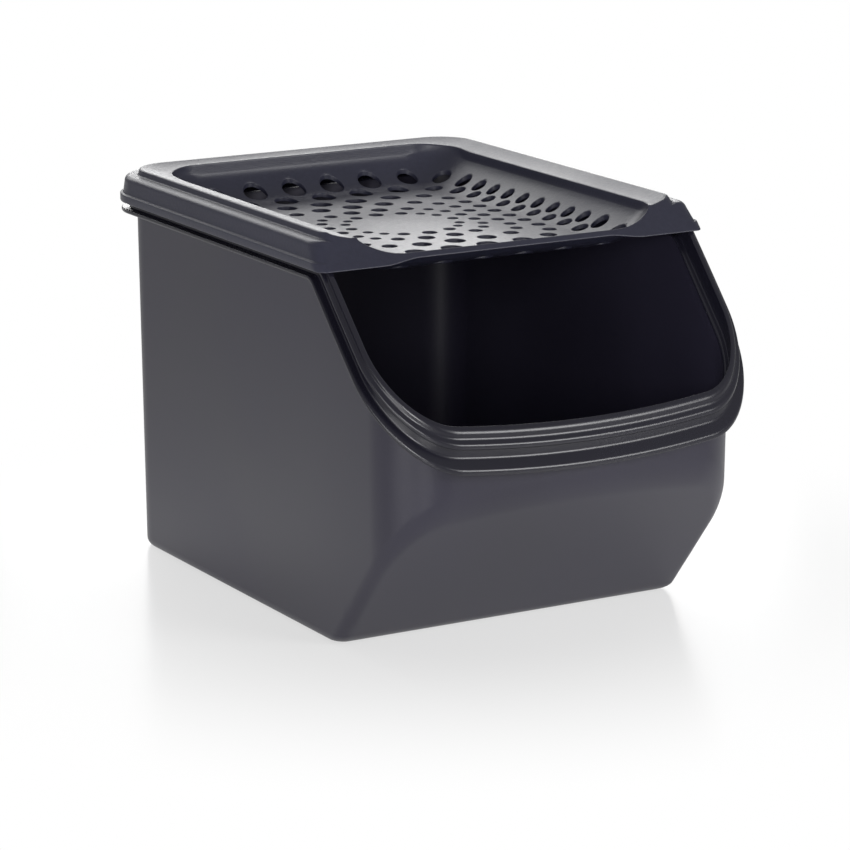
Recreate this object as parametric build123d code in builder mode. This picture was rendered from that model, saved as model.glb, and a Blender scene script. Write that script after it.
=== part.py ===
"""Onion keeper: an open-fronted kitchen bin with a vented lift-off lid.

Millimetres. +Z is up, the front faces -Y, +X is to the right of someone who faces the front.
The origin lies under the middle of the object's box, on the surface that it stands on.
"""

from build123d import *
import os
from math import atan2, cos, dist, pi, radians, sin, sqrt, tan

# Overall sizes
rim_width = 179.0
rim_depth = 255.3
rim_level = 150.8
mouth_front_level = 80.4
mouth_slope = 46.0

# Plan of the rim's flange
back_corner_radius = 24.5
front_corner_radius = 30.0
front_bow = 6.2
side_run = 80.3
side_draw_in = 1.8

# Walls and floor of the bin
wall = 2.0
floor = 2.2
draft = 0.66
rim_overhang = 6.7
bottom_radius = 4.0
crease_radius = 5.0
foot_width = 9.0
foot_height = 0.8

# Sloped lower front
toe_setback = 64.0
toe_angle = 50.2

# Rim, measured square to the mouth
bend_radius = 7.0
flange_thickness = 1.6
neck_inset = 3.9
neck_thickness = 2.4
lip_height = 7.2
bead_inset = 2.1
bead_low = 3.6
bead_high = 5.2
lip_rounding = 0.8
edge_rounding = 0.5

# Lid shell
lid_overlap = 0.5
lid_wall = 1.8
skirt_gap = 2.7
lip_band = 3.5
lip_proud = 1.3
skirt_draft = 8.0
shoulder_rise = 10.8
shoulder_radius = 2.2
ridge_inset = 7.8
ridge_height = 2.6
ridge_draft = 14.0
brow_wall = 1.5
brow_gap = 0.3
brow_corner_radius = 4.0

# Fit of the lid on the rim
bead_clearance = 0.6
neck_clearance = 1.3
snap_clearance = 0.25
snap_height = 0.8
seat_gap = 0.1

# Sloped rail and sunken tray of the lid: an upright wall that runs down into a round dish
rail_inset = 9.4
rail_depth = 2.5
rail_side_run = 10.1
rail_back_run = 19.0
rail_corner_radius = 14.0
tray_depth = 17.3
tray_side_inset = 20.5
tray_back_inset = 18.3
tray_front_inset = 2.3
tray_corner_radius = 16.5
tray_draft = 5.0
dish_radius = 26.0
dish_rise = 10.8
panel_corner_radius = 0.5
ridge_radius = 0.8

# Arch in the middle of the brow's lower edge
brow_arch_rise = 1.6
brow_arch_end = 29.0
brow_arch_run = 17.0

# Vent holes, in staggered rings round a plain middle, drawn for a tray of this width and length
ring_plan_width = 139.0
ring_plan_length = 177.12
ring_half_widths = (24.5, 32.0, 39.8, 48.8, 57.0, 62.8)
ring_half_lengths = (22.6, 31.8, 43.2, 55.3, 68.7, 78.9)
ring_shift = 2.2
ring_squareness = (2.0, 2.6, 4.0, 5.5, 8.0, 11.0)
inner_ring_holes = 16
ring_step_holes = 4
hole_share = 0.56
side_hole_share = 0.48
hole_spread = 3.5

# Places worked out from the sizes
front = -(rim_depth + lid_overlap) / 2
rim_back = front + rim_depth
lid_back = rim_back + lid_overlap
slope_rise = tan(radians(mouth_slope))
half_width = rim_width / 2
wall_inset = rim_overhang + wall
brow_offset = lip_height + brow_gap + brow_wall
skirt_bottom = rim_level + skirt_gap
shoulder_level = skirt_bottom + shoulder_rise
ridge_top = shoulder_level + ridge_height
tray_level = ridge_top - tray_depth
lip_top = rim_level + lip_height
lid_half_width = half_width + lid_overlap
foot_inset = rim_overhang + rim_level * tan(radians(draft)) + bottom_radius
toe_line = front + toe_setback + bottom_radius
bead_room = lid_overlap + bead_inset - bead_clearance
snap_room = lid_overlap + bead_inset - snap_clearance
neck_room = lid_overlap + neck_inset - neck_clearance
seat_inset = lid_overlap + neck_inset


def mouth_y(level, offset):
    """Y of the sloped mouth plane, moved out by offset square to itself, at a level."""
    return front + (level - mouth_front_level) / slope_rise - offset / sin(radians(mouth_slope))


lid_front = mouth_y(skirt_bottom, brow_offset)
lid_middle = (lid_back + lid_front) / 2
tray_back = lid_back - tray_back_inset
tray_width = 2 * (lid_half_width - tray_side_inset)
tray_length = tray_back - lid_front - tray_front_inset
tray_middle = tray_back - tray_length / 2
dish_overlap = dish_radius - sqrt(dish_radius ** 2 - (dish_radius - dish_rise) ** 2)
dish_spread = dish_overlap + dish_rise * tan(radians(tray_draft))
rail_back = lid_back - rail_inset - rail_back_run

# Plan of the rim's flange, from which every wall and ring of the bin is drawn in
with BuildSketch() as rim_outline:
    with BuildLine():
        side_end = (half_width - side_draw_in, front + front_bow)
        Line((-half_width, rim_back), (half_width, rim_back))
        Line((half_width, rim_back), (half_width, front + side_run))
        TangentArc((half_width, front + side_run), side_end, tangent=(0, -1))
        ThreePointArc(side_end, (0, front), (-side_end[0], side_end[1]))
        TangentArc((-half_width, front + side_run), (-side_end[0], side_end[1]), tangent=(0, -1))
        Line((-half_width, rim_back), (-half_width, front + side_run))
    make_face()
    fillet(rim_outline.vertices().group_by(Axis.Y)[-1], back_corner_radius)
    fillet(rim_outline.vertices().group_by(Axis.Y)[0], front_corner_radius)


def folded_line(offset):
    """Side view of the rim, moved out by offset: level over the back, then down the mouth's slope."""
    level = rim_level + offset
    bend = (mouth_y(level, offset), level)
    low = front - rim_depth / 4
    foot = (low, level - (bend[0] - low) * slope_rise)
    return FilletPolyline((rim_back + wall, level), bend, foot, radius=bend_radius + offset)


def folded_band(low, high):
    """Solid band that follows the rim in side view between two offsets, right across the object."""
    with BuildPart() as band:
        with BuildSketch(Plane.YZ):
            with BuildLine():
                under = folded_line(low)
                over = folded_line(high)
                Line(under @ 0, over @ 0)
                Line(under @ 1, over @ 1)
            make_face()
        extrude(amount=rim_width, both=True)
    return band.part


def rim_ring(outer, inner, low, high, rounding):
    """Ring of the rim between two insets in plan and two offsets in side view, its top edges rounded."""
    with BuildPart() as ring:
        with BuildSketch():
            add(rim_outline.sketch)
            offset(amount=-outer)
        extrude(amount=rim_level + lip_height + wall)
        with BuildSketch():
            add(rim_outline.sketch)
            offset(amount=-inner)
        extrude(amount=rim_level + lip_height + wall, mode=Mode.SUBTRACT)
        add(folded_band(low, high), mode=Mode.INTERSECT)
        tops = ring.faces().filter_by(lambda face: face.normal_at().Z > cos(radians(mouth_slope)) / 2)
        edges = tops.edges()
        fillet([edge for edge in edges if sum(edge.is_same(other) for other in edges) == 1], rounding)
    return ring.part


def bin_form(inset, low):
    """Body of the bin drawn in by inset: drafted walls, a floor at low and the sloped lower front."""
    slope = radians(toe_angle)
    toe_normal = Axis((0, 0, 0), (0, -sin(slope), -cos(slope)))
    toe_y = front + toe_setback + inset / sin(slope)
    run = rim_depth / 2
    with BuildPart() as form:
        with BuildSketch(Plane.XY.offset(rim_level)):
            add(rim_outline.sketch)
            offset(amount=-(rim_overhang + inset))
        extrude(amount=-(rim_level - low), taper=draft)
        with BuildSketch(Plane.YZ):
            with BuildLine():
                Polyline(
                    (toe_y, 0),
                    (toe_y - run, run * tan(slope)),
                    (toe_y - 2 * run, 0),
                    (toe_y - 2 * run, -floor),
                    (toe_y, -floor),
                    close=True,
                )
            make_face()
        extrude(amount=rim_width, both=True, mode=Mode.SUBTRACT)
        fillet(form.faces().sort_by(toe_normal)[-1].edges().sort_by(Axis.Z)[1:], crease_radius - inset)
        fillet(form.faces().sort_by(Axis.Z)[0].edges(), bottom_radius - inset)
    return form.part


with BuildPart() as bin_body:
    add(bin_form(0, 0))
    add(bin_form(wall, floor), mode=Mode.SUBTRACT)
    add(folded_band(0, rim_level), mode=Mode.SUBTRACT)
    add(rim_ring(0, wall_inset, -flange_thickness, 0, edge_rounding))
    add(rim_ring(neck_inset, neck_inset + neck_thickness, -flange_thickness, lip_height, lip_rounding))
    add(rim_ring(bead_inset, neck_inset + neck_thickness / 2, bead_low, bead_high, edge_rounding))
    with BuildSketch():
        add(rim_outline.sketch)
        offset(amount=-(foot_inset + foot_width))
        with Locations((0, toe_line + foot_width)):
            Rectangle(rim_width, rim_depth, align=(Align.CENTER, Align.MIN), mode=Mode.INTERSECT)
    extrude(amount=foot_height, mode=Mode.SUBTRACT)

# Plan of the lid's skirt, from which the lid's walls are drawn in
with BuildSketch() as lid_outline:
    with Locations((0, lid_back)):
        Rectangle(2 * lid_half_width, rim_depth, align=(Align.CENTER, Align.MAX))
    fillet(lid_outline.vertices().group_by(Axis.Y)[-1], back_corner_radius + lid_overlap)


def lid_block(inset, low, high, slant=0, top_radius=0):
    """Block of the lid's plan drawn in by inset, which stands from low to high and narrows upward."""
    with BuildPart() as block:
        with BuildSketch(Plane.XY.offset(low)):
            add(lid_outline.sketch)
            if inset:
                offset(amount=-inset)
        extrude(amount=high - low, taper=slant)
        if top_radius:
            fillet(block.faces().sort_by(Axis.Z)[-1].edges().sort_by(Axis.Y)[1:], top_radius)
    return block.part


def behind_brow(depth, half_span, radius):
    """Space behind the sloped front plane of the lid, a depth further in, with rounded corners."""
    slope = radians(mouth_slope)
    plane = Plane(
        origin=(0, mouth_y(rim_level, brow_offset - depth), rim_level),
        x_dir=(1, 0, 0),
        z_dir=(0, cos(slope), sin(slope)),
    )
    with BuildPart() as space:
        with BuildSketch(plane):
            Rectangle(2 * half_span, 2 * rim_depth, align=(Align.CENTER, Align.MIN))
        extrude(amount=rim_depth, both=True)
        upright = space.edges().filter_by(Axis((0, 0, 0), (0, cos(slope), sin(slope))))
        fillet(upright.sort_by(Axis.Y)[:2], radius)
    return space.part


def tray_form(grow, top):
    """Body of the sunken tray up to top, grown outward: a dish, cut off all round by an upright wall."""
    spread = dish_spread + grow
    with BuildPart() as tray:
        with BuildSketch(Plane.XY.offset(tray_level - grow)):
            with Locations((0, tray_middle)):
                RectangleRounded(tray_width + 2 * spread, tray_length + 2 * spread,
                                 dish_radius + panel_corner_radius + grow)
        extrude(amount=2 * (dish_radius + grow))
        fillet(tray.faces().sort_by(Axis.Z)[0].edges(), dish_radius + grow)
        with BuildSketch(Plane.XY.offset(tray_level - grow)):
            with Locations((0, tray_middle)):
                RectangleRounded(tray_width + 2 * grow, tray_length + 2 * grow, tray_corner_radius + grow)
        extrude(amount=top - tray_level + grow, taper=-tray_draft, mode=Mode.INTERSECT)
    return tray.part


def hole_places(ring):
    """Centres of the vent holes of one ring, and the width of each, counted from the innermost ring."""
    ring_width = ring_half_widths[ring] * tray_width / ring_plan_width
    ring_length = ring_half_lengths[ring] * tray_length / ring_plan_length
    count = inner_ring_holes + ring_step_holes * ring
    centres = []
    for hole in range(count):
        turn = 2 * pi * (hole + (ring % 2) / 2) / count
        bearing = turn + radians(hole_spread) * (sin(2 * turn) + sin(4 * turn))
        across = abs(sin(bearing)) / ring_width
        along = abs(cos(bearing)) / ring_length
        power = ring_squareness[ring]
        reach = (across ** power + along ** power) ** (-1 / power)
        centres.append((reach * sin(bearing), tray_middle + ring_shift + reach * cos(bearing)))
    places = []
    for before, centre, after in zip(centres[-1:] + centres[:-1], centres, centres[1:] + centres[:1]):
        pitch = (dist(before, centre) + dist(centre, after)) / 2
        bearing = atan2(centre[0], centre[1] - tray_middle - ring_shift)
        share = side_hole_share + (hole_share - side_hole_share) * cos(bearing) ** 2
        places.append((centre, share * pitch))
    return places


brow_space = behind_brow(0, lid_half_width, brow_corner_radius)
under_space = behind_brow(brow_wall, lid_half_width - bead_room, brow_corner_radius - brow_wall)

with BuildPart() as under_cavity:
    add(lid_block(snap_room, skirt_bottom - lid_wall, skirt_bottom + snap_height))
    add(lid_block(bead_room, skirt_bottom + snap_height, skirt_bottom + lip_band))
    add(lid_block(neck_room, skirt_bottom + lip_band, shoulder_level - lid_wall))
    add(lid_block(seat_inset, lip_top + seat_gap, shoulder_level), mode=Mode.SUBTRACT)
    add(lid_block(seat_inset + neck_thickness, lip_top + seat_gap, shoulder_level - lid_wall))
    add(under_space, mode=Mode.INTERSECT)

with BuildPart() as brow_arch:
    with BuildSketch(Plane.XZ.offset(-lid_middle)):
        with BuildLine():
            open_end = (lid_half_width - brow_arch_end, skirt_bottom)
            flat_end = (open_end[0] - brow_arch_run, skirt_bottom + brow_arch_rise)
            lean = -brow_arch_rise / brow_arch_run
            Line((0, flat_end[1]), flat_end)
            Spline(flat_end, open_end, tangents=((1, 0), (1, lean / 4)))
            Line(open_end, (open_end[0], tray_level))
            Line((open_end[0], tray_level), (0, tray_level))
            mirror(about=Plane.YZ)
        make_face()
    extrude(amount=lid_middle - lid_front + lid_wall)

with BuildPart() as rail_hollow:
    with BuildSketch(Plane.XY.offset(ridge_top)):
        add(lid_outline.sketch)
        offset(amount=-rail_inset)
    with BuildSketch(Plane.XY.offset(ridge_top - rail_depth)) as rail_foot:
        with Locations((0, rail_back)):
            Rectangle(2 * (lid_half_width - rail_inset - rail_side_run), rim_depth - 2 * rail_inset - rail_back_run,
                      align=(Align.CENTER, Align.MAX))
        fillet(rail_foot.vertices().group_by(Axis.Y)[-1], rail_corner_radius)
    loft(ruled=True)

with BuildPart() as vented_lid:
    add(lid_block(0, skirt_bottom, skirt_bottom + lip_band))
    add(lid_block(lip_proud, skirt_bottom + lip_band, shoulder_level, skirt_draft, shoulder_radius))
    add(lid_block(ridge_inset, shoulder_level, ridge_top, ridge_draft, ridge_radius))
    add(under_cavity.part, mode=Mode.SUBTRACT)
    add(brow_arch.part, mode=Mode.SUBTRACT)
    add(tray_form(lid_wall, shoulder_level - lid_wall / 2))
    add(brow_space, mode=Mode.INTERSECT)
    add(tray_form(0, ridge_top), mode=Mode.SUBTRACT)
    add(rail_hollow.part, mode=Mode.SUBTRACT)
    with BuildSketch(Plane.XY.offset(tray_level - 2 * lid_wall)):
        for ring in range(len(ring_half_widths)):
            for centre, width in hole_places(ring):
                with Locations(centre):
                    Circle(width / 2)
    extrude(amount=2 * lid_wall + dish_rise, mode=Mode.SUBTRACT)

bin_body.part.label = "bin"
vented_lid.part.label = "vented_lid"
os.makedirs("parts", exist_ok=True)
export_step(bin_body.part, "parts/bin.step")
export_step(vented_lid.part, "parts/vented_lid.step")
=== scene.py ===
"""Onion keeper: the looks of its bin and its vented lid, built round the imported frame.

The classes hold their sizes in millimetres, and every mesh is made in metres.
The front faces -Y, +X is to the right of someone who faces the front, and +Z is up.
"""

import logging
import math
from dataclasses import dataclass
from enum import Enum
from typing import Callable, Sequence

import bmesh
import bpy
import numpy as np
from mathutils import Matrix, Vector


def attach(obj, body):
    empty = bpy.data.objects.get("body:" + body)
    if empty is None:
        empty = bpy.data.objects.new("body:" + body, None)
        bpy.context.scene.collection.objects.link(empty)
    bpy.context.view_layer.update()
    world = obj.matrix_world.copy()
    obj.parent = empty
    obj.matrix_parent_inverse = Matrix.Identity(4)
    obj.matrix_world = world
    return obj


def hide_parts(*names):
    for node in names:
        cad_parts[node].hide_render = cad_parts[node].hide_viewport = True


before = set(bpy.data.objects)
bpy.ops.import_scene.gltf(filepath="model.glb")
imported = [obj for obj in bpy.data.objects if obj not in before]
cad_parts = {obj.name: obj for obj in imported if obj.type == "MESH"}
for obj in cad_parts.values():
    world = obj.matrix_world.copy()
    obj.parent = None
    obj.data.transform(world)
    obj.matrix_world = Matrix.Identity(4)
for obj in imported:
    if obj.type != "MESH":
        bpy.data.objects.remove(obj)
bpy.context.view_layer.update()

MM = 0.001
TRIAL_TURNS = 4001
SEARCH_STEPS = 40
SETTLE_STEPS = 20
ROOM_STEPS = 24
JOIN_DISTANCE = 4e-6
NO_LENGTH = 2e-6
Level = np.ndarray | float
Field = Callable[[np.ndarray, np.ndarray, Level], np.ndarray]
Sockets = bpy.types.bpy_prop_collection
log = logging.getLogger("onion_keeper")


def rounded_meet(first: np.ndarray, second: np.ndarray, radius: float) -> np.ndarray:
    """Joins two distances outside a face, negative inside, at a convex corner of the given radius."""
    corner = np.hypot(np.maximum(first + radius, 0), np.maximum(second + radius, 0))
    return np.minimum(np.maximum(first, second) + radius, 0) - radius + corner


def quarter_arc(radius: float, steps: int) -> list[tuple[float, float]]:
    """Lists the points on a quarter turn from (radius, 0) to (0, radius), divided into equal steps."""
    angles = [math.pi / 2 * step / steps for step in range(steps + 1)]
    return [(radius * math.cos(angle), radius * math.sin(angle)) for angle in angles]


@dataclass(frozen=True)
class Fan:
    """Upright half planes that spread from an upright axis at X 0. Every row of a shell has a point in each.

    The X part of their directions is across and the Y part along. Every form ends nearer than far.
    """

    centre_y: float
    across: np.ndarray
    along: np.ndarray
    far: float = 330.0

    @classmethod
    def spread(cls, centre_y: float, outline: Field, spacing: Callable[[float, float], float]) -> "Fan":
        """Makes a fan whose planes meet an outline at a wanted spacing, the same on both sides.

        Args:
            centre_y: Y of the axis.
            outline: Signed distance whose zero line is the outline.
            spacing: Wanted spacing at a point of the outline.

        Returns:
            The fan.
        """
        turns = np.linspace(0, math.pi, TRIAL_TURNS)
        trial = cls(centre_y, np.sin(turns), -np.cos(turns))
        x, y = trial.place(trial.reach(outline, 0.0))
        runs = np.hypot(np.diff(x), np.diff(y))
        wanted = np.array([spacing(px, py) for px, py in zip(x[1:], y[1:])])
        passed = np.concatenate([[0], np.cumsum(runs / wanted)])
        count = int(round(passed[-1]))
        half = np.interp(np.linspace(0, passed[-1], count + 1), passed, turns)
        whole = np.concatenate([half, 2 * math.pi - half[-2:0:-1]])
        return cls(centre_y, np.sin(whole), -np.cos(whole))

    def reach(self, field: Field, level: Level) -> np.ndarray:
        """Finds how far out each half plane leaves a form.

        Args:
            field: Signed distance of the form.
            level: Height at which each half plane is followed.

        Returns:
            Distance from the axis, one for each half plane.
        """
        near = np.zeros_like(self.across)
        far = np.full_like(self.across, self.far)
        for _ in range(SEARCH_STEPS):
            middle = (near + far) / 2
            inside = field(middle * self.across, self.centre_y + middle * self.along, level) < 0
            near = np.where(inside, middle, near)
            far = np.where(inside, far, middle)
        return (near + far) / 2

    def place(self, reach: np.ndarray) -> tuple[np.ndarray, np.ndarray]:
        """Gives X and Y of the points at a distance out along each half plane."""
        return reach * self.across, self.centre_y + reach * self.along

    def row(self, reach: np.ndarray, level: Level) -> np.ndarray:
        """Gives the points of one row from their distances out and their heights."""
        x, y = self.place(reach)
        return np.column_stack([x, y, np.broadcast_to(level, x.shape)])

    def cut(self, field: Field, level: Level) -> np.ndarray:
        """Gives the row of points at which the half planes leave a form."""
        return self.row(self.reach(field, level), level)


def shell_mesh(name: str, rows: Sequence[np.ndarray], polished: Sequence[int] = ()) -> bpy.types.Object:
    """Makes a closed mesh from rows of points that run round an upright axis.

    Args:
        name: Name of the new object.
        rows: Rows in order; the first and the last are closed with a flat face each.
        polished: Rows from which the faces up to the next row take the piece's second finish, polished and
            with its colour painted darker as shade.

    Returns:
        The object, smooth shaded, linked to the scene.
    """
    count = len(rows[0])
    points = np.concatenate(rows) * MM
    faces = [list(range(count - 1, -1, -1))]
    for row in range(len(rows) - 1):
        for column in range(count):
            after = (column + 1) % count
            start = row * count
            faces.append([start + column, start + after, start + count + after, start + count + column])
    faces.append([(len(rows) - 1) * count + column for column in range(count)])
    mesh = bpy.data.meshes.new(name)
    mesh.from_pydata(points.tolist(), [], faces)
    # These rows take the second finish: polished, with its colour painted darker as shade.
    for row in polished:
        for number in range(1 + row * count, 1 + (row + 1) * count):
            mesh.polygons[number].material_index = 1
    clean(mesh)
    piece = bpy.data.objects.new(name, mesh)
    bpy.context.scene.collection.objects.link(piece)
    return piece


def clean(mesh: bpy.types.Mesh) -> None:
    """Joins points that fall together, drops faces with no area and turns every face outward.

    Args:
        mesh: The mesh, which is changed.
    """
    work = bmesh.new()
    work.from_mesh(mesh)
    bmesh.ops.remove_doubles(work, verts=work.verts, dist=JOIN_DISTANCE)
    bmesh.ops.dissolve_degenerate(work, edges=work.edges, dist=NO_LENGTH)
    bmesh.ops.recalc_face_normals(work, faces=work.faces)
    for face in work.faces:
        face.smooth = True
    work.to_mesh(mesh)
    work.free()
    mesh.update()


def apply_modifiers(piece: bpy.types.Object) -> None:
    """Turns a piece's modifiers into plain geometry.

    Args:
        piece: The piece, which gets a new mesh.
    """
    graph = bpy.context.evaluated_depsgraph_get()
    made = bpy.data.meshes.new_from_object(piece.evaluated_get(graph))
    piece.modifiers.clear()
    piece.data = made


def steady_normals(piece: bpy.types.Object) -> None:
    """Lets large flat faces set the shading along their rounded edges.

    Args:
        piece: The piece, which gets the modifier.
    """
    weighted = piece.modifiers.new("steady normals", "WEIGHTED_NORMAL")
    weighted.mode = "FACE_AREA_WITH_ANGLE"
    weighted.weight = 60
    weighted.keep_sharp = True


@dataclass(frozen=True)
class Fold:
    """Side view of the rim: level over the back, then bent down along the slope of the mouth."""

    level: float = 150.8
    front: float = -127.9
    front_level: float = 80.4
    slope: float = math.radians(46.0)
    bend_radius: float = 7.0

    def plane_y(self, level: float, offset: float) -> float:
        """Gives Y of the mouth plane, moved out square to itself by offset, at a level."""
        rise = (level - self.front_level) / math.tan(self.slope)
        return self.front + rise - offset / math.sin(self.slope)

    def height(self, y: np.ndarray, offset: float) -> np.ndarray:
        """Finds the height of the folded surface.

        Args:
            y: Y of each point.
            offset: Distance of the surface above the flange, square to it.

        Returns:
            Height of each point.
        """
        level = self.level + offset
        bend = self.plane_y(level, offset)
        radius = self.bend_radius + offset
        tangent = radius * math.tan(self.slope / 2)
        sloped = level - (bend - y) * math.tan(self.slope)
        beyond = np.clip(bend + tangent - y, 0, radius)
        curved = level - radius + np.sqrt(radius ** 2 - beyond ** 2)
        on_slope = y < bend - tangent * math.cos(self.slope)
        return np.where(y > bend + tangent, level, np.where(on_slope, sloped, curved))


@dataclass(frozen=True)
class RimPlan:
    """Plan of the rim's flange: straight back and sides, sides drawn in and a bowed front."""

    half_width: float = 89.5
    back: float = 127.4
    front: float = -127.9
    back_radius: float = 24.5
    front_radius: float = 30.0
    front_bow: float = 6.2
    side_straight: float = 175.0
    side_draw_in: float = 1.8

    def distance(self, x: np.ndarray, y: np.ndarray) -> np.ndarray:
        """Finds how far points lie outside the plan.

        Args:
            x: X of each point.
            y: Y of each point.

        Returns:
            Distance outside the plan, negative inside.
        """
        turn_y = self.back - self.side_straight
        drop = turn_y - (self.front + self.front_bow)
        side_radius = (drop ** 2 + self.side_draw_in ** 2) / (2 * self.side_draw_in)
        curved = np.hypot(np.abs(x) - self.half_width + side_radius, y - turn_y) - side_radius
        side = np.where(y > turn_y, np.abs(x) - self.half_width, curved)
        half_front = self.half_width - self.side_draw_in
        front_arc = (half_front ** 2 + self.front_bow ** 2) / (2 * self.front_bow)
        front = np.hypot(x, y - self.front - front_arc) - front_arc
        return rounded_meet(rounded_meet(side, y - self.back, self.back_radius), front, self.front_radius)


@dataclass(frozen=True)
class Bin:
    """The bin: drafted walls, a sloped lower front, and a folded rim with flange, bead and lip."""

    plan: RimPlan = RimPlan()
    fold: Fold = Fold()
    wall: float = 2.0
    floor: float = 2.2
    draft: float = math.radians(0.66)
    overhang: float = 6.7
    toe_setback: float = 64.0
    toe_angle: float = math.radians(50.2)
    crease_radius: float = 5.0
    bottom_radius: float = 4.0
    foot_width: float = 9.0
    foot_height: float = 0.8
    flange: float = 1.6
    centre_y: float = -22.0
    corner_side: float = 57.5
    corner_ends: tuple[float, float] = (-92.0, 98.0)
    bend_ends: tuple[float, float] = (-76.0, -54.0)

    def toe(self, y: np.ndarray, z: np.ndarray) -> np.ndarray:
        """Gives the distance outside the sloped lower front, negative inside."""
        setback = y - self.plan.front - self.toe_setback
        return -math.sin(self.toe_angle) * setback - math.cos(self.toe_angle) * z

    def body(self, inset: float, shrink: float = 0.0) -> Field:
        """Makes the signed distance of the bin's walls.

        Args:
            inset: Depth of the surface inside the outer walls.
            shrink: Further distance by which the surface is drawn in, its corners unchanged.

        Returns:
            The signed distance.
        """
        drawn = inset + shrink

        def field(x: np.ndarray, y: np.ndarray, z: np.ndarray) -> np.ndarray:
            """Gives the distance outside the walls and the sloped lower front."""
            lean = (self.fold.level - z) * math.tan(self.draft)
            walls = self.plan.distance(x, y) + self.overhang + lean + drawn
            return rounded_meet(walls, self.toe(y, z) + drawn, self.crease_radius - inset)

        return field

    def edge(self, fan: Fan, inset: float) -> np.ndarray:
        """Finds how far out each half plane leaves the flange's plan, drawn in by inset."""
        return fan.reach(lambda x, y, z: self.plan.distance(x, y) + inset, 0.0)

    def spacing(self, x: float, y: float) -> float:
        """Chooses how close the columns are at a point of the rim: closer at the bends and the corners."""
        in_corner = abs(x) > self.corner_side and not self.corner_ends[0] <= y <= self.corner_ends[1]
        return 0.9 if self.bend_ends[0] < y < self.bend_ends[1] else 1.5 if in_corner else 4.0

    def wall_rows(self, fan: Fan, inset: float, low: float, top: np.ndarray) -> list[np.ndarray]:
        """Makes the rows of one side of the wall, close together along the crease of the lower front.

        Args:
            fan: Half planes that the rows cross.
            inset: Depth of the surface inside the outer walls.
            low: Height of the lowest row.
            top: Height of the topmost row in each half plane.

        Returns:
            The rows, from the lowest up.
        """
        field = self.body(inset)
        y = fan.place(self.edge(fan, self.overhang + inset))[1]
        back_step = self.toe_setback + inset / math.sin(self.toe_angle)
        crease = (self.plan.front + back_step - y) * math.tan(self.toe_angle)
        reach = 8.0
        crease = np.maximum(crease, low + reach + 1.0)
        levels = [low + (crease - reach - low) * share for share in np.linspace(0, 1, 8)[:-1]]
        near = np.linspace(-1, 1, 19)
        levels += [crease + reach * np.sign(share) * abs(share) ** 1.4 for share in near]
        levels += [crease + reach + (top - crease - reach) * share for share in np.linspace(0, 1, 12)[1:]]
        return [fan.cut(field, level) for level in levels]

    def rim_section(self) -> list[tuple[float, float]]:
        """Lists the points of the rim's section, from under the flange over the lip to the inside.

        Returns:
            Inset in plan and offset from the flange's top, for each point.
        """
        under = -self.flange
        return [
            (6.45, under - 0.12), (6.1, under), (3.0, under), (0.5, under), (0.17, under + 0.14),
            (0.02, under + 0.45), (0.02, -0.5), (0.17, -0.16), (0.5, 0.0), (1.6, 0.0), (3.3, 0.0),
            (3.72, 0.14), (3.9, 0.55), (3.9, 2.0), (3.9, 3.1), (3.76, 3.48), (3.4, 3.6), (2.6, 3.6),
            (2.25, 3.72), (2.1, 4.05), (2.1, 4.75), (2.25, 5.08), (2.6, 5.2), (3.3, 5.2), (3.72, 5.32),
            (3.9, 5.7), (3.9, 6.3), (4.0, 6.75), (4.3, 7.08), (4.75, 7.2), (5.45, 7.2), (5.9, 7.08),
            (6.2, 6.75), (6.3, 6.3), (6.3, 3.5), (6.3, 0.9), (6.42, 0.4), (6.8, 0.2), (7.9, 0.1),
            (8.4, -0.05), (8.65, -0.4),
        ]

    def build(self) -> bpy.types.Object:
        """Builds the bin as one closed mesh.

        Returns:
            The new object.
        """
        fan = Fan.spread(self.centre_y, lambda x, y, z: self.plan.distance(x, y), self.spacing)
        rows = []
        step = self.foot_width + self.bottom_radius
        foot_section = (
            (44.0, 1.0), (24.0, 1.0), (step + 0.9, 1.0), (step + 0.5, 0.75), (step + 0.25, 0.3),
            (step, 0.0), (step - 0.8, 0.0), (self.bottom_radius + 1.0, 0.0),
        )
        for shrink, share in foot_section:
            rows.append(fan.cut(self.body(0, shrink), self.foot_height * share))
        for along, up in reversed(quarter_arc(self.bottom_radius, 6)):
            rows.append(fan.cut(self.body(0, self.bottom_radius - along), self.bottom_radius - up))
        top = self.fold.height(fan.place(self.edge(fan, self.overhang))[1], -self.flange - 0.5)
        rows += self.wall_rows(fan, 0.0, self.bottom_radius, top)[1:]
        rim_start = len(rows) - 1
        for inset, offset in self.rim_section():
            reach = self.edge(fan, inset)
            rows.append(fan.row(reach, self.fold.height(fan.place(reach)[1], offset)))
        rim_end = len(rows)
        top = self.fold.height(fan.place(self.edge(fan, self.overhang + self.wall))[1], -0.9)
        foot = self.bottom_radius - self.wall + 1.0
        rows += self.wall_rows(fan, self.wall, self.floor + foot, top)[::-1]
        for along, up in quarter_arc(foot, 5)[1:]:
            rows.append(fan.cut(self.body(self.wall, foot - along), self.floor + foot - up))
        for shrink in (12.0, 40.0):
            rows.append(fan.cut(self.body(self.wall, shrink), self.floor))
        # The rim's rows get the polished finish, whose darker colour is painted shade.
        piece = shell_mesh("bin_shell", rows, range(rim_start, rim_end))
        steady_normals(piece)
        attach(piece, "bin")
        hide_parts("bin")
        return piece


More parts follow.
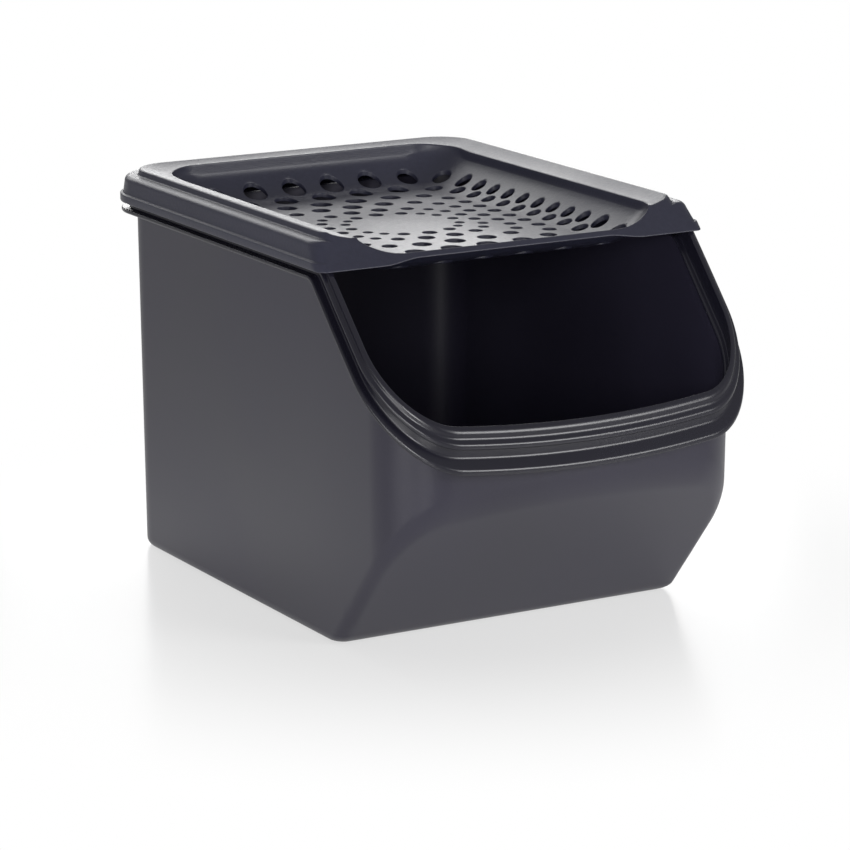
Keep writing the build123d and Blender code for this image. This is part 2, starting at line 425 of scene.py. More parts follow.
@dataclass(frozen=True)
class VentHoles:
    """Vent holes in staggered rings that grow from round to a rounded square."""

    middle_y: float = 23.24
    half_widths: tuple[float, ...] = (24.5, 32.0, 39.8, 48.8, 57.0, 62.8)
    half_lengths: tuple[float, ...] = (22.6, 31.8, 43.2, 55.3, 68.7, 78.9)
    squareness: tuple[float, ...] = (2.0, 2.6, 4.0, 5.5, 8.0, 11.0)
    inner_count: int = 16
    step_count: int = 4
    share: float = 0.56
    side_share: float = 0.48
    spread: float = math.radians(3.5)

    def ring(self, number: int) -> list[tuple[float, float, float]]:
        """Places the holes of one ring.

        Args:
            number: Number of the ring, 0 for the innermost.

        Returns:
            X, Y and radius of each hole.
        """
        count = self.inner_count + self.step_count * number
        turn = 2 * math.pi * (np.arange(count) + (number % 2) / 2) / count
        bearing = turn + self.spread * (np.sin(2 * turn) + np.sin(4 * turn))
        across = np.abs(np.sin(bearing)) / self.half_widths[number]
        along = np.abs(np.cos(bearing)) / self.half_lengths[number]
        power = self.squareness[number]
        reach = (across ** power + along ** power) ** (-1 / power)
        x = reach * np.sin(bearing)
        y = self.middle_y + reach * np.cos(bearing)
        after = np.hypot(np.roll(x, -1) - x, np.roll(y, -1) - y)
        before = np.roll(after, 1)
        share = self.side_share + (self.share - self.side_share) * np.cos(bearing) ** 2
        return list(zip(x, y, share * (after + before) / 4))


@dataclass(frozen=True)
class Tray:
    """The sunken tray: an upright wall that runs down into a dish with a flat panel in its middle."""

    half_width: float = 70.445
    back: float = 110.545
    front: float = -68.46
    corner: float = 17.4
    dish_corner: float = 21.6
    panel_corner: float = 18.0
    level: float = 149.6
    dish_radius: float = 26.0
    dish_rise: float = 10.8
    draft: float = math.radians(5.0)
    softness: float = 0.5
    arc_steps: int = 15

    @property
    def overlap(self) -> float:
        """Distance by which the dish, if it went on upward, would pass the wall."""
        low = self.dish_radius - self.dish_rise
        return self.dish_radius - math.sqrt(self.dish_radius ** 2 - low ** 2)

    def outline(self, x: np.ndarray, y: np.ndarray, corner: float) -> np.ndarray:
        """Gives the distance outside the tray's outline at the foot of its wall, negative inside."""
        return rounded_meet(np.abs(x) - self.half_width, np.maximum(y - self.back, self.front - y), corner)

    def section(self, grow: float) -> Field:
        """Makes the signed distance of the tray's level sections.

        Args:
            grow: Distance out from the inside of the tray.

        Returns:
            The signed distance.
        """
        radius = self.dish_radius + grow
        floor = self.level - grow

        def field(x: np.ndarray, y: np.ndarray, z: np.ndarray) -> np.ndarray:
            """Gives the distance outside the wall and the dish, which meet in a soft line."""
            lean = (z - self.level - self.dish_rise) * math.tan(self.draft)
            wall = self.outline(x, y, self.corner) - grow - lean
            below = np.clip(floor + radius - z, 0, radius)
            inward = radius - np.sqrt(radius ** 2 - below ** 2) - self.overlap - grow
            dish = self.outline(x, y, self.dish_corner) + inward
            return (wall + dish + np.sqrt((wall - dish) ** 2 + self.softness ** 2)) / 2

        return field

    def height(self, x: np.ndarray, y: np.ndarray, grow: float) -> np.ndarray:
        """Finds the height of the dish.

        Args:
            x: X of each point.
            y: Y of each point.
            grow: 0 for the inside, the wall for the underside.

        Returns:
            Height of each point.
        """
        radius = self.dish_radius + grow
        inward = self.overlap + grow - self.outline(x, y, self.dish_corner)
        beyond = np.clip(radius - inward, 0, radius * 0.95)
        return self.level - grow + radius - np.sqrt(radius ** 2 - beyond ** 2)

    def arc(self, grow: float) -> list[float]:
        """Lists heights up the dish, from the panel to the wall.

        Args:
            grow: 0 for the inside, the wall for the underside.

        Returns:
            The heights.
        """
        radius = self.dish_radius + grow
        steep = math.acos(1 - (self.dish_rise + grow) / radius)
        turns = [steep * step / self.arc_steps for step in range(self.arc_steps + 1)]
        return [self.level - grow + radius * (1 - math.cos(turn)) for turn in turns]


@dataclass(frozen=True)
class VentedLid:
    """The lid: skirt with a bottom lip, raised ridge, hollow rail, sloped brow and a perforated tray."""

    fold: Fold = Fold()
    holes: VentHoles = VentHoles()
    tray: Tray = Tray()
    half_width: float = 90.0
    back: float = 127.9
    corner_radius: float = 25.0
    wall: float = 1.8
    skirt_bottom: float = 153.5
    lip_top: float = 157.0
    lip_proud: float = 1.3
    skirt_draft: float = math.radians(8.0)
    shoulder: float = 164.3
    shoulder_radius: float = 2.2
    ridge_inset: float = 7.8
    ridge_top: float = 166.9
    ridge_draft: float = math.radians(14.0)
    rail_inset: float = 9.4
    rail_depth: float = 2.5
    rail_side_run: float = 10.1
    rail_back_run: float = 19.0
    rail_corner: float = 14.0
    rail_sag: float = 0.34
    brow_offset: float = 9.0
    brow_wall: float = 1.5
    brow_corner: float = 4.0
    centre_y: float = 21.0
    arch_rise: float = 1.6
    arch_flat: float = 44.0
    arch_open: float = 61.0

    @property
    def front(self) -> float:
        """Y of the brow at the bottom of the skirt."""
        return self.fold.plane_y(self.skirt_bottom, self.brow_offset)

    def plan(self, x: np.ndarray, y: np.ndarray) -> np.ndarray:
        """Gives the distance outside the lid's plan, which has no front, negative inside."""
        return rounded_meet(np.abs(x) - self.half_width, y - self.back, self.corner_radius)

    def brow(self, y: np.ndarray, z: np.ndarray) -> np.ndarray:
        """Gives the distance in front of the brow's outer plane, negative behind it."""
        ahead = self.fold.plane_y(self.fold.level, self.brow_offset) - y
        return math.cos(self.fold.slope) * (z - self.fold.level) + math.sin(self.fold.slope) * ahead

    def shell(self, inset: float, depth: float) -> Field:
        """Makes the signed distance of the lid's outside, drawn in.

        Args:
            inset: Distance in from the sides and the back.
            depth: Distance in from the brow.

        Returns:
            The signed distance.
        """
        radius = max(self.brow_corner - depth, 1.0)

        def field(x: np.ndarray, y: np.ndarray, z: np.ndarray) -> np.ndarray:
            """Gives the distance outside the sides, the back and the brow."""
            return rounded_meet(self.plan(x, y) + inset, self.brow(y, z) + depth, radius)

        return field

    def body(self, x: np.ndarray, y: np.ndarray, z: np.ndarray) -> np.ndarray:
        """Gives the distance outside the tray's body of material, cut by the brow, negative inside."""
        return rounded_meet(self.tray.section(self.wall)(x, y, z), self.brow(y, z), 0.9)

    def rail(self, x: np.ndarray, y: np.ndarray) -> np.ndarray:
        """Finds the height of the hollow rail between the ridge and the tray.

        Args:
            x: X of each point.
            y: Y of each point.

        Returns:
            Height of the rail at each point.
        """
        outside = np.maximum(-self.plan(x, y) - self.rail_inset, 0)
        side = np.abs(x) - (self.half_width - self.rail_inset - self.rail_side_run)
        end = y - (self.back - self.rail_inset - self.rail_back_run)
        foot = np.maximum(rounded_meet(side, end, self.rail_corner), 0)
        share = outside / np.maximum(outside + foot, 1e-6)
        wall = np.maximum(self.tray.outline(x, y, self.tray.corner) - 0.4, 0)
        across = outside / np.maximum(outside + wall, 1e-6)
        return self.ridge_top - self.rail_depth * share - 4 * self.rail_sag * across * (1 - across)

    def brow_edge(self, depth: float) -> Callable[[np.ndarray], np.ndarray]:
        """Follows the line in which the brow's plane leaves the lid's material upward.

        Args:
            depth: Distance in from the brow.

        Returns:
            A function that gives the line's height at a distance from the middle.
        """
        x = np.linspace(0, 92, 737)
        low = np.full_like(x, self.skirt_bottom)
        high = np.full_like(x, self.ridge_top)
        hollow = self.tray.section(0.0)
        for _ in range(SEARCH_STEPS):
            z = (low + high) / 2
            y = self.fold.plane_y(z, self.brow_offset - depth)
            open_air = (z > self.rail(x, y)) | (hollow(x, y, z) < 0)
            low = np.where(open_air, low, z)
            high = np.where(open_air, z, high)
        return lambda px: np.interp(np.abs(px), x, (low + high) / 2)

    def arch(self, x: np.ndarray) -> np.ndarray:
        """Gives the height of the brow's bottom edge at a distance from the middle."""
        share = np.clip((self.arch_open - np.abs(x)) / (self.arch_open - self.arch_flat), 0, 1)
        return self.skirt_bottom + self.arch_rise * share * share * (3 - 2 * share)

    def spacing(self, x: float, y: float) -> float:
        """Chooses how close the columns are at a point of the lid's plan.

        Args:
            x: X of the point.
            y: Y of the point.

        Returns:
            The wanted spacing.
        """
        if y < self.front + 1:
            return 0.4 if abs(x) > 84 else 0.9 if abs(x) > 42 else 2.0
        if y < self.front + 18:
            return 0.8
        return 1.0 if abs(x) > 62 and y > self.back - 28 else 3.0

    def edge_level(self, fan: Fan, depth: float, line: Callable[[np.ndarray], np.ndarray],
                   plain: float) -> np.ndarray:
        """Finds the height of an edge of the brow in each half plane.

        Args:
            fan: Half planes that the edge crosses.
            depth: Distance in from the brow.
            line: Height of the edge at a distance from the middle.
            plain: Height away from the brow.

        Returns:
            The height of the edge in each half plane.
        """
        level = np.full_like(fan.across, plain)
        for _ in range(SETTLE_STEPS):
            x, y = fan.place(fan.reach(self.shell(0, depth), level))
            level = np.where(y < 0, line(x), plain)
        return level

    def outer_section(self) -> list[tuple[float, float, float]]:
        """Lists the points of the outside's section, from the bottom up.

        Returns:
            Inset, depth behind the brow and height of each point.
        """
        base = self.lip_top
        lean = math.tan(self.skirt_draft)
        radius = self.shoulder_radius
        middle = self.shoulder - radius
        start = self.lip_proud + (middle + radius * math.sin(self.skirt_draft) - base) * lean
        centre = start + radius * math.cos(self.skirt_draft)
        section = [
            (1.5, 1.1, 153.5), (0.55, 0.5, 153.5), (0.16, 0.15, 153.64), (0.0, 0.02, 154.0),
            (0.0, 0.0, 155.2), (0.0, 0.0, 156.5), (0.13, 0.0, 156.85), (0.45, 0.0, 156.98),
            (0.95, 0.0, 157.04), (1.22, 0.0, 157.16), (1.34, 0.0, 157.5), (1.7, 0.0, 159.85),
        ]
        for angle in (8, 20, 34, 50, 68, 90):
            turn = math.radians(angle)
            section.append((centre - radius * math.cos(turn), 0.0, middle + radius * math.sin(turn) - 0.04))
        section.append((centre + 1.2, 0.0, 164.29))
        ridge = (
            (-0.55, 0.0, 164.33), (-0.12, 0.0, 164.5), (0.1, 0.0, 164.9), (0.36, 0.0, 165.9),
            (0.46, 0.0, 166.3), (0.62, 0.03, 166.62), (0.9, 0.1, 166.82), (1.3, 0.3, 166.9),
        )
        section += [(self.ridge_inset + inset, depth, height) for inset, depth, height in ridge]
        return section

    def panel_rows(self, fan: Fan, level: float) -> list[np.ndarray]:
        """Makes the rows of the flat panel in the tray's middle, from its rim inward.

        Args:
            fan: Half planes that the rows cross.
            level: Height of the rows.

        Returns:
            The rows.
        """
        corner = self.tray.panel_corner
        rows = []
        for inward in (27.0, 38.0, 52.0):
            rows.append(fan.cut(lambda x, y, z: self.tray.outline(x, y, corner) + inward, level))
        return rows

    def outer_rows(self, fan: Fan) -> list[np.ndarray]:
        """Makes the rows of the outside, from the bottom of the skirt up to the ridge or the brow's edge.

        Args:
            fan: Half planes that the rows cross.

        Returns:
            The rows.
        """
        floor, ceiling = self.skirt_bottom, self.ridge_top
        low = self.edge_level(fan, 0.0, self.arch, floor)
        rows = []
        tray_body = fan.reach(self.body, low)
        for place, (inset, depth, height) in enumerate(self.outer_section()):
            high = self.edge_level(fan, depth, self.brow_edge(depth), ceiling)
            if height <= floor + 0.6:
                level = low + (height - floor)
            elif height >= ceiling - 1.0:
                level = high - (ceiling - height)
            else:
                share = (height - floor - 0.6) / (ceiling - floor - 1.6)
                level = low + 0.6 + (high - low - 1.6) * share
            reach = fan.reach(self.shell(inset, depth), level)
            if place < 2:
                reach = np.maximum(reach, tray_body)
            rows.append(fan.row(reach, level))
        return rows

    def inner_rows(self, fan: Fan, edge: np.ndarray) -> list[np.ndarray]:
        """Makes the rows from the ridge or the brow's edge over the rail and down the tray to the panel.

        Args:
            fan: Half planes that the rows cross.
            edge: Last row of the outside.

        Returns:
            The rows.
        """
        limit = np.hypot(edge[:, 0], edge[:, 1] - self.centre_y)
        top = edge[:, 2]
        crest = fan.reach(lambda x, y, z: self.plan(x, y) + self.rail_inset, 0.0)
        wall_lean = math.tan(self.tray.draft)
        foot = self.tray.level + self.tray.dish_rise

        def wall_top(x: np.ndarray, y: np.ndarray, z: np.ndarray) -> np.ndarray:
            """Gives the distance outside the line in which the tray's wall meets the rail."""
            return self.tray.outline(x, y, self.tray.corner) - (self.rail(x, y) - foot) * wall_lean

        inner = fan.reach(wall_top, 0.0)
        rows = []
        for share in (0.0, 0.05, 0.12, 0.22, 0.34, 0.47, 0.6, 0.72, 0.83, 0.92, 0.985):
            reach = crest + (inner - crest) * share
            x, y = fan.place(np.minimum(reach, limit))
            rows.append(fan.row(np.minimum(reach, limit), np.where(reach < limit, self.rail(x, y), top)))
        x, y = fan.place(inner)
        on_wall = self.rail(x, y)
        start = np.where(inner < limit, on_wall - 0.22, top)
        section = self.tray.section(0.0)
        heights = [164.4, 163.9, 162.6, 161.6, 161.1, 160.7] + self.tray.arc(0.0)[::-1]
        for height in heights:
            share = (height - self.tray.level) / (heights[0] - self.tray.level)
            level = self.tray.level + (start - self.tray.level) * share
            rows.append(fan.row(np.minimum(fan.reach(section, level), limit), level))
        return rows + self.panel_rows(fan, self.tray.level)

    def under_rows(self, fan: Fan) -> list[np.ndarray]:
        """Makes the rows of the underside, from the panel out to the inside of the skirt.

        Args:
            fan: Half planes that the rows cross.

        Returns:
            The rows.
        """
        room = self.shell(3.1, self.brow_wall)
        low = self.edge_level(fan, 0.0, self.arch, self.skirt_bottom)
        under_shoulder = self.shoulder - self.wall
        lower, upper = low.copy(), np.full_like(low, under_shoulder)
        closed = fan.reach(room, lower) <= fan.reach(self.body, lower)
        opened = fan.reach(room, upper) > fan.reach(self.body, upper)
        for _ in range(ROOM_STEPS):
            middle = (lower + upper) / 2
            clear = fan.reach(room, middle) > fan.reach(self.body, middle)
            lower = np.where(clear, middle, lower)
            upper = np.where(clear, upper, middle)
        ceiling = np.where(closed, low, np.where(opened, under_shoulder, lower))
        bottom = self.tray.level - self.wall
        rows = self.panel_rows(fan, bottom)[::-1]
        for height in self.tray.arc(self.wall) + [161.0, under_shoulder]:
            level = bottom + (ceiling - bottom) * (height - bottom) / (under_shoulder - bottom)
            rows.append(fan.cut(self.body, level))
        for inset, height in ((3.4, 162.5), (3.1, 162.2), (3.1, 157.4), (2.85, 157.1), (2.3, 156.9),
                              (2.0, 156.6), (2.0, 154.0), (1.9, 153.7)):
            share = (height - self.skirt_bottom) / (under_shoulder - self.skirt_bottom)
            level = low + (ceiling - low) * share
            reach = fan.reach(self.shell(inset, self.brow_wall), level)
            rows.append(fan.row(np.maximum(reach, fan.reach(self.body, level)), level))
        return rows

    def hole_cutter(self) -> bpy.types.Object:
        """Builds one object that holds a cutter for every hole, flared where it meets the tray.

        Returns:
            The object of the cutters.
        """
        flare = 0.4
        sides = 32
        angles = np.arange(sides) * 2 * math.pi / sides
        points: list[np.ndarray] = []
        faces: list[list[int]] = []
        arc = quarter_arc(flare, 4)
        profile = [(0.0, flare, 4.0), (0.0, flare, 0.6)]
        profile += [(0.0, flare - along, up - flare + 0.02) for along, up in reversed(arc)]
        profile += [(self.wall, flare - along, flare - up - 0.02) for along, up in arc]
        profile += [(self.wall, flare, -0.6), (self.wall, flare, -4.0)]
        for number in range(len(self.holes.half_widths)):
            for x, y, radius in self.holes.ring(number):
                start = len(points) * sides
                for grow, wider, rise in profile:
                    px = x + (radius + wider) * np.cos(angles)
                    py = y + (radius + wider) * np.sin(angles)
                    points.append(np.column_stack([px, py, self.tray.height(px, py, grow) + rise]))
                faces.append([start + column for column in range(sides)])
                for ring in range(len(profile) - 1):
                    here = start + ring * sides
                    above = here + sides
                    for column in range(sides):
                        after = (column + 1) % sides
                        faces.append([here + column, above + column, above + after, here + after])
                last = start + (len(profile) - 1) * sides
                faces.append([last + column for column in range(sides)][::-1])
        mesh = bpy.data.meshes.new("hole_cutter")
        mesh.from_pydata((np.concatenate(points) * MM).tolist(), [], faces)
        cutter = bpy.data.objects.new("hole_cutter", mesh)
        bpy.context.scene.collection.objects.link(cutter)
        return cutter

    def pierce(self, piece: bpy.types.Object) -> None:
        """Cuts the vent holes through the lid.

        Args:
            piece: The lid's closed mesh.
        """
        cutter = self.hole_cutter()
        cut = piece.modifiers.new("vent holes", "BOOLEAN")
        cut.operation = "DIFFERENCE"
        cut.solver = "EXACT"
        cut.object = cutter
        apply_modifiers(piece)
        spare = cutter.data
        bpy.data.objects.remove(cutter)
        bpy.data.meshes.remove(spare)
        for face in piece.data.polygons:
            face.use_smooth = True

    def build(self) -> bpy.types.Object:
        """Builds the lid as one closed mesh with its holes.

        Returns:
            The new object.
        """
        fan = Fan.spread(
            self.centre_y, lambda x, y, z: self.shell(0, 0)(x, y, z + self.skirt_bottom), self.spacing,
        )
        outside = self.outer_rows(fan)
        piece = shell_mesh("lid_shell", self.under_rows(fan) + outside + self.inner_rows(fan, outside[-1]))
        self.pierce(piece)
        steady_normals(piece)
        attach(piece, "lid")
        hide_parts("vented_lid")
        return piece


@dataclass(frozen=True)
class Lamp:
    """A rectangular lamp with its place, its width and height, its power and the point that it faces."""

    name: str
    place: tuple[float, float, float]
    size: tuple[float, float]
    watts: float
    aim: tuple[float, float, float] = (0.0, 0.0, 0.08)

    def build(self) -> None:
        """Makes the lamp."""
        data = bpy.data.lights.new(self.name, "AREA")
        data.shape = "RECTANGLE"
        data.size, data.size_y = self.size
        data.energy = self.watts
        lamp = bpy.data.objects.new(self.name, data)
        lamp.location = self.place
        lamp.rotation_mode = "QUATERNION"
        lamp.rotation_quaternion = (Vector(self.aim) - Vector(self.place)).to_track_quat("-Z", "Y")
        bpy.context.scene.collection.objects.link(lamp)


@dataclass(frozen=True)
class Studio:
    """Pale floor, soft lamps and the camera at the photograph's angle, with places in metres.

    The camera looks down by pitch and to the right by yaw, and the surround is the world's strength for all
    but the camera. Each glow lists distances from the middle with their share of white, for the floor as the
    camera sees it and as the object mirrors it. The mirrored glow is painted light: a painted reflection of
    the floor on the object, dimmed near the middle as a painted contact shadow and fading far off.
    """

    lens: float = 159.07
    camera_place: tuple[float, float, float] = (-0.7718, -1.3220, 0.4457)
    pitch: float = math.radians(13.88)
    yaw: float = math.radians(30.19)
    floor_half: float = 6.0
    floor_colour: tuple[float, float, float] = (0.9, 0.9, 0.895)
    surround: float = 0.34
    glow_reach: float = 0.7
    seen_glow: tuple[tuple[float, float], ...] = ((0.10, 0.6), (0.28, 1.0))
    # Painted reflection: the floor glows only in the object's reflections. It is dim near the middle as a
    # painted contact shadow, bright a little further out, and fades far off.
    painted_reflection_glow: tuple[tuple[float, float], ...] = ((0.09, 0.45), (0.17, 0.95), (0.38, 0.42), (0.6, 0.0))
    lamps: tuple[Lamp, ...] = (
        Lamp("overhead lamp", (0.5, 1.6, 1.1), (2.0, 0.9), 16),
        Lamp("left lamp", (-1.6, -0.7, 0.25), (0.9, 0.5), 6),
        Lamp("front lamp", (0.9, -1.7, 0.75), (0.8, 0.6), 16),
        Lamp("mouth lamp", (-1.1, -1.6, 0.55), (0.6, 0.5), 13),
        Lamp("back lamp", (1.0, 1.8, 0.45), (0.8, 0.25), 4),
    )

    def camera(self) -> None:
        """Makes the scene's camera."""
        data = bpy.data.cameras.new("camera")
        data.lens = self.lens
        camera = bpy.data.objects.new("camera", data)
        ahead = Vector((
            math.sin(self.yaw) * math.cos(self.pitch),
            math.cos(self.yaw) * math.cos(self.pitch),
            -math.sin(self.pitch),
        ))
        camera.location = self.camera_place
        camera.rotation_mode = "QUATERNION"
        camera.rotation_quaternion = ahead.to_track_quat("-Z", "Y")
        bpy.context.scene.collection.objects.link(camera)
        bpy.context.scene.camera = camera

    def floor(self) -> None:
        """Makes the floor, which keeps its shadow and glows by distance for the camera and mirrored rays;
        the mirrored glow paints light and a contact shadow into the object's reflections.
        """
        mesh = bpy.data.meshes.new("floor")
        half = self.floor_half
        corners = [(-half, -half, 0), (half, -half, 0), (half, half, 0), (-half, half, 0)]
        mesh.from_pydata(corners, [], [[0, 1, 2, 3]])
        floor = bpy.data.objects.new("floor", mesh)
        bpy.context.scene.collection.objects.link(floor)
        material = bpy.data.materials.new("floor paper")
        material.use_nodes = True
        kit = NodeKit(material.node_tree)
        shader = kit.tree.nodes["Principled BSDF"]
        shader.inputs["Base Color"].default_value = (*self.floor_colour, 1)
        shader.inputs["Roughness"].default_value = 0.22
        shader.inputs["Specular IOR Level"].default_value = 0.35
        glow = kit.add("ShaderNodeEmission", Strength=1.0, Color=(1, 1, 1, 1))
        path = kit.add("ShaderNodeLightPath")
        place = kit.add("ShaderNodeTexCoord").outputs["Object"]
        away = kit.add("ShaderNodeVectorMath", operation="LENGTH", Vector=place).outputs["Value"]
        part = kit.math("DIVIDE", away, self.glow_reach)
        shares = []
        # The glossy-ray glow is painted light and shade in what the object mirrors.
        for ray, stops in (("Is Camera Ray", self.seen_glow), ("Is Glossy Ray", self.painted_reflection_glow)):
            fade = kit.add("ShaderNodeValToRGB", Fac=part)
            fade.color_ramp.interpolation = "EASE"
            marks = fade.color_ramp.elements
            marks.remove(marks[1])
            for number, (reach, white) in enumerate(stops):
                mark = marks[0] if number == 0 else marks.new(reach / self.glow_reach)
                mark.position = reach / self.glow_reach
                mark.color = (white, white, white, 1)
            shares.append(kit.math("MULTIPLY", path.outputs[ray], fade.outputs["Color"]))
        mix = kit.add("ShaderNodeMixShader")
        parts = (kit.math("MAXIMUM", *shares), shader.outputs[0], glow.outputs[0])
        for entry, value in zip(mix.inputs, parts):
            kit.feed(entry, value)
        kit.feed(kit.tree.nodes["Material Output"].inputs["Surface"], mix.outputs[0])
        mesh.materials.append(material)

    def world(self) -> None:
        """Makes the surroundings: white to the camera, a soft grey to everything else."""
        world = bpy.data.worlds.new("studio")
        bpy.context.scene.world = world
        world.use_nodes = True
        kit = NodeKit(world.node_tree)
        back = kit.tree.nodes["Background"]
        back.inputs["Color"].default_value = (1, 1, 1, 1)
        seen = kit.add("ShaderNodeLightPath").outputs["Is Camera Ray"]
        strength = kit.add("ShaderNodeMapRange", Value=seen, To_Min=self.surround, To_Max=1.0)
        kit.feed(back.inputs["Strength"], strength.outputs["Result"])

    def build(self) -> None:
        """Builds the whole studio."""
        bpy.context.scene.view_settings.view_transform = "Standard"
        self.camera()
        self.floor()
        self.world()
        for lamp in self.lamps:
            lamp.build()


class NodeKit:
    """Short calls that place and join nodes in one tree."""

    def __init__(self, tree: bpy.types.NodeTree) -> None:
        """Keeps the tree that nodes go into."""
        self.tree = tree

    def add(self, kind: str, **settings: object) -> bpy.types.Node:
        """Adds a node.

        Args:
            kind: Type name of the node.
            settings: Properties, or values or sockets for its inputs, by name, with _ for a space.

        Returns:
            The node.
        """
        node = self.tree.nodes.new(kind)
        for name, value in settings.items():
            if hasattr(node, name):
                setattr(node, name, value)
            else:
                self.feed(node.inputs[name.replace("_", " ")], value)
        return node

    def math(self, operation: str, *values: object) -> bpy.types.NodeSocket:
        """Adds a Math node.

        Args:
            operation: What the node does.
            values: Numbers or sockets for its inputs, in order.

        Returns:
            Its output.
        """
        node = self.add("ShaderNodeMath", operation=operation)
        for entry, value in zip(node.inputs, values):
            self.feed(entry, value)
        return node.outputs[0]

    def feed(self, entry: bpy.types.NodeSocket, value: object) -> None:
        """Joins an output to an input, or sets the input to a plain value.

        Args:
            entry: The input.
            value: The output or the value.
        """
        if isinstance(value, bpy.types.NodeSocket):
            self.tree.links.new(value, entry)
        else:
            entry.default_value = value


class Socket(Enum):
    """Kinds of socket that the shared groups use."""

    NUMBER = "NodeSocketFloat"
    COLOUR = "NodeSocketColor"
    VECTOR = "NodeSocketVector"


def new_group(name: str, inputs: Sequence[tuple[str, Socket, float]],
              outputs: Sequence[tuple[str, Socket]]) -> tuple[NodeKit, Sockets, Sockets]:
    """Starts a shader node group with named sockets.

    Args:
        name: Name of the group.
        inputs: Name, kind and starting value of each input; only numbers take the value.
        outputs: Name and kind of each output.

    Returns:
        A kit for the group's tree, the sockets that it reads and the sockets that it fills.
    """
    tree = bpy.data.node_groups.new(name, "ShaderNodeTree")
    for label, kind, value in inputs:
        socket = tree.interface.new_socket(label, in_out="INPUT", socket_type=kind.value)
        if kind is Socket.NUMBER:
            socket.default_value = value
    for label, kind in outputs:
        tree.interface.new_socket(label, in_out="OUTPUT", socket_type=kind.value)
    kit = NodeKit(tree)
    return kit, kit.add("NodeGroupInput").outputs, kit.add("NodeGroupOutput").inputs


def grain_group() -> bpy.types.NodeTree:
    """Makes the spark-eroded grain that the mould leaves in the plastic.

    Returns:
        The group, with inputs Vector, Cell and Coarse and outputs Height and Pits.
    """
    kit, given, leave = new_group(
        "moulded grain",
        (("Vector", Socket.VECTOR, 0), ("Cell", Socket.NUMBER, 2600), ("Coarse", Socket.NUMBER, 0.3)),
        (("Height", Socket.NUMBER), ("Pits", Socket.NUMBER)),
    )
    place, cell = given["Vector"], given["Cell"]
    fine = kit.add("ShaderNodeTexNoise", Vector=place, Scale=cell, Detail=2.0, Roughness=0.6)
    coarse = kit.add("ShaderNodeTexNoise", Vector=place, Scale=kit.math("MULTIPLY", cell, 0.37), Detail=1.0)
    blend = kit.add("ShaderNodeMix", data_type="FLOAT")
    for number, value in ((0, given["Coarse"]), (2, fine.outputs["Fac"]), (3, coarse.outputs["Fac"])):
        kit.feed(blend.inputs[number], value)
    height = blend.outputs[0]
    pits = kit.add(
        "ShaderNodeMapRange", interpolation_type="SMOOTHSTEP", Value=height, From_Min=0.38, From_Max=0.62,
    )
    kit.feed(leave["Height"], height)
    kit.feed(leave["Pits"], pits.outputs["Result"])
    return kit.tree


def drift_group() -> bpy.types.NodeTree:
    """Makes the slow drift of tone and gloss over a large moulding.

    Returns:
        The group, with inputs Vector and Size and output Drift from 0 to 1.
    """
    kit, given, leave = new_group(
        "moulding drift",
        (("Vector", Socket.VECTOR, 0), ("Size", Socket.NUMBER, 9.0)),
        (("Drift", Socket.NUMBER),),
    )
    cloud = kit.add(
        "ShaderNodeTexNoise", Vector=given["Vector"], Scale=given["Size"],
        Detail=3.0, Roughness=0.5, Distortion=0.4,
    ).outputs["Fac"]
    spread = kit.add(
        "ShaderNodeMapRange", interpolation_type="SMOOTHSTEP", Value=cloud, From_Min=0.3, From_Max=0.7,
    )
    kit.feed(leave["Drift"], spread.outputs["Result"])
    return kit.tree


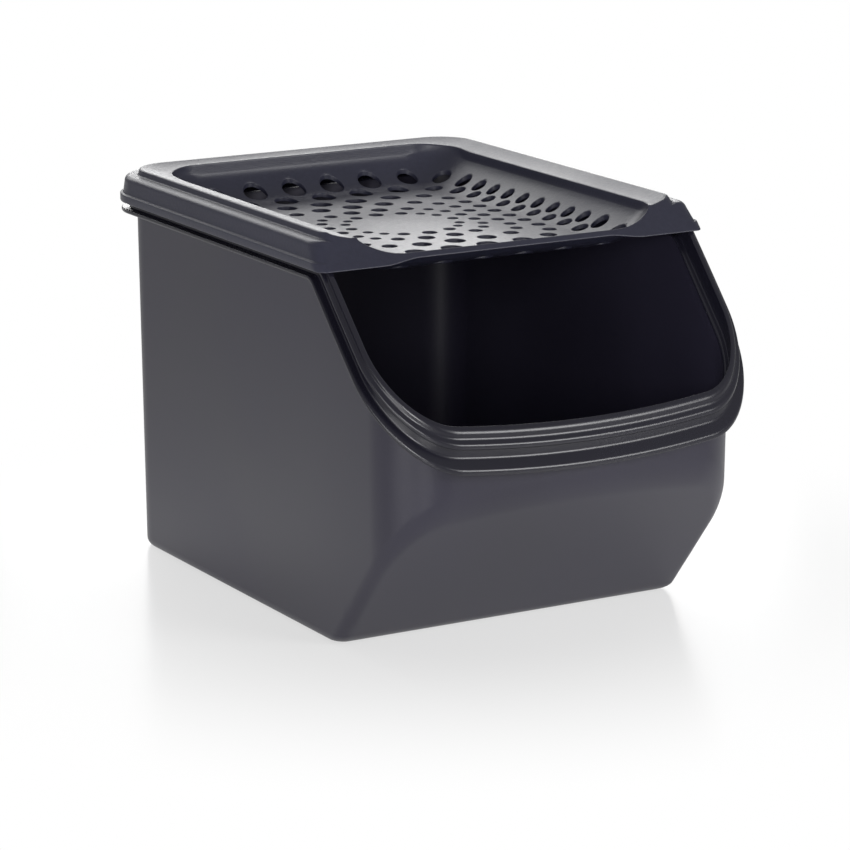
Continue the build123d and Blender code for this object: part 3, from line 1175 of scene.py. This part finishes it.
@dataclass(frozen=True)
class MouldedPlastic:
    """A dyed moulding: its colour, its gloss and its grain.

    The tone runs from colour to pale and the gloss between both roughnesses. The grain has grain_share of
    that and the slow drift the rest. A metre holds cell cells of grain, coarse is the share of the coarser
    ones, and grain_depth is in metres.
    """

    name: str
    colour: tuple[float, float, float]
    pale: tuple[float, float, float]
    roughness: tuple[float, float]
    cell: float
    coarse: float
    grain_depth: float
    specular: float = 0.5
    grain_share: float = 0.35

    def build(self, grain: bpy.types.NodeTree, drift: bpy.types.NodeTree) -> bpy.types.Material:
        """Builds the material.

        Args:
            grain: The shared grain group.
            drift: The shared drift group.

        Returns:
            The material.
        """
        material = bpy.data.materials.new(self.name)
        material.use_nodes = True
        kit = NodeKit(material.node_tree)
        shader = kit.tree.nodes["Principled BSDF"]
        shader.inputs["Specular IOR Level"].default_value = self.specular
        place = kit.add("ShaderNodeTexCoord").outputs["Object"]
        texture = kit.add(
            "ShaderNodeGroup", node_tree=grain, Vector=place, Cell=self.cell, Coarse=self.coarse,
        )
        cloud = kit.add("ShaderNodeGroup", node_tree=drift, Vector=place)
        rest = kit.math("MULTIPLY", cloud.outputs["Drift"], 1.0 - self.grain_share)
        weight = kit.math("MULTIPLY_ADD", texture.outputs["Pits"], self.grain_share, rest)
        tone = kit.add("ShaderNodeMix", data_type="RGBA")
        for number, value in ((0, weight), (6, (*self.colour, 1)), (7, (*self.pale, 1))):
            kit.feed(tone.inputs[number], value)
        least, most = self.roughness
        gloss = kit.add("ShaderNodeMapRange", Value=weight, To_Min=least, To_Max=most)
        bump = kit.add(
            "ShaderNodeBump", Strength=1.0, Distance=self.grain_depth, Height=texture.outputs["Height"],
        )
        kit.feed(shader.inputs["Base Color"], tone.outputs[2])
        kit.feed(shader.inputs["Roughness"], gloss.outputs["Result"])
        kit.feed(shader.inputs["Normal"], bump.outputs["Normal"])
        return material


class Finish(Enum):
    """The finishes of the keeper."""

    BIN = MouldedPlastic(
        "satin charcoal plastic", colour=(0.017, 0.0155, 0.028), pale=(0.024, 0.022, 0.039),
        roughness=(0.34, 0.42), cell=2600.0, coarse=0.35, grain_depth=0.00004,
    )
    # The rim is the same moulding as the walls. Its finish is really polished, but its colour is painted
    # darker as shade for the rim's grooves and up-facing faces.
    RIM_PAINTED_SHADE = MouldedPlastic(
        "polished charcoal plastic with painted shade", colour=(0.009, 0.0085, 0.015), pale=(0.013, 0.0125, 0.021),
        roughness=(0.22, 0.28), cell=2600.0, coarse=0.35, grain_depth=0.000008,
    )
    LID = MouldedPlastic(
        "grained charcoal plastic", colour=(0.018, 0.0185, 0.034), pale=(0.027, 0.0275, 0.048),
        roughness=(0.34, 0.44), cell=1500.0, coarse=0.5, grain_depth=0.00010,
    )


def main() -> None:
    """Builds the keeper and its studio, and reports each piece."""
    logging.basicConfig(level=logging.INFO)
    grain = grain_group()
    drift = drift_group()
    pieces = ((Bin().build(), (Finish.BIN, Finish.RIM_PAINTED_SHADE)), (VentedLid().build(), (Finish.LID,)))
    for piece, finishes in pieces:
        for finish in finishes:
            piece.data.materials.append(finish.value.build(grain, drift))
        log.info("%s: %d points", piece.name, len(piece.data.vertices))
    Studio().build()


if __name__ == "__main__":
    main()
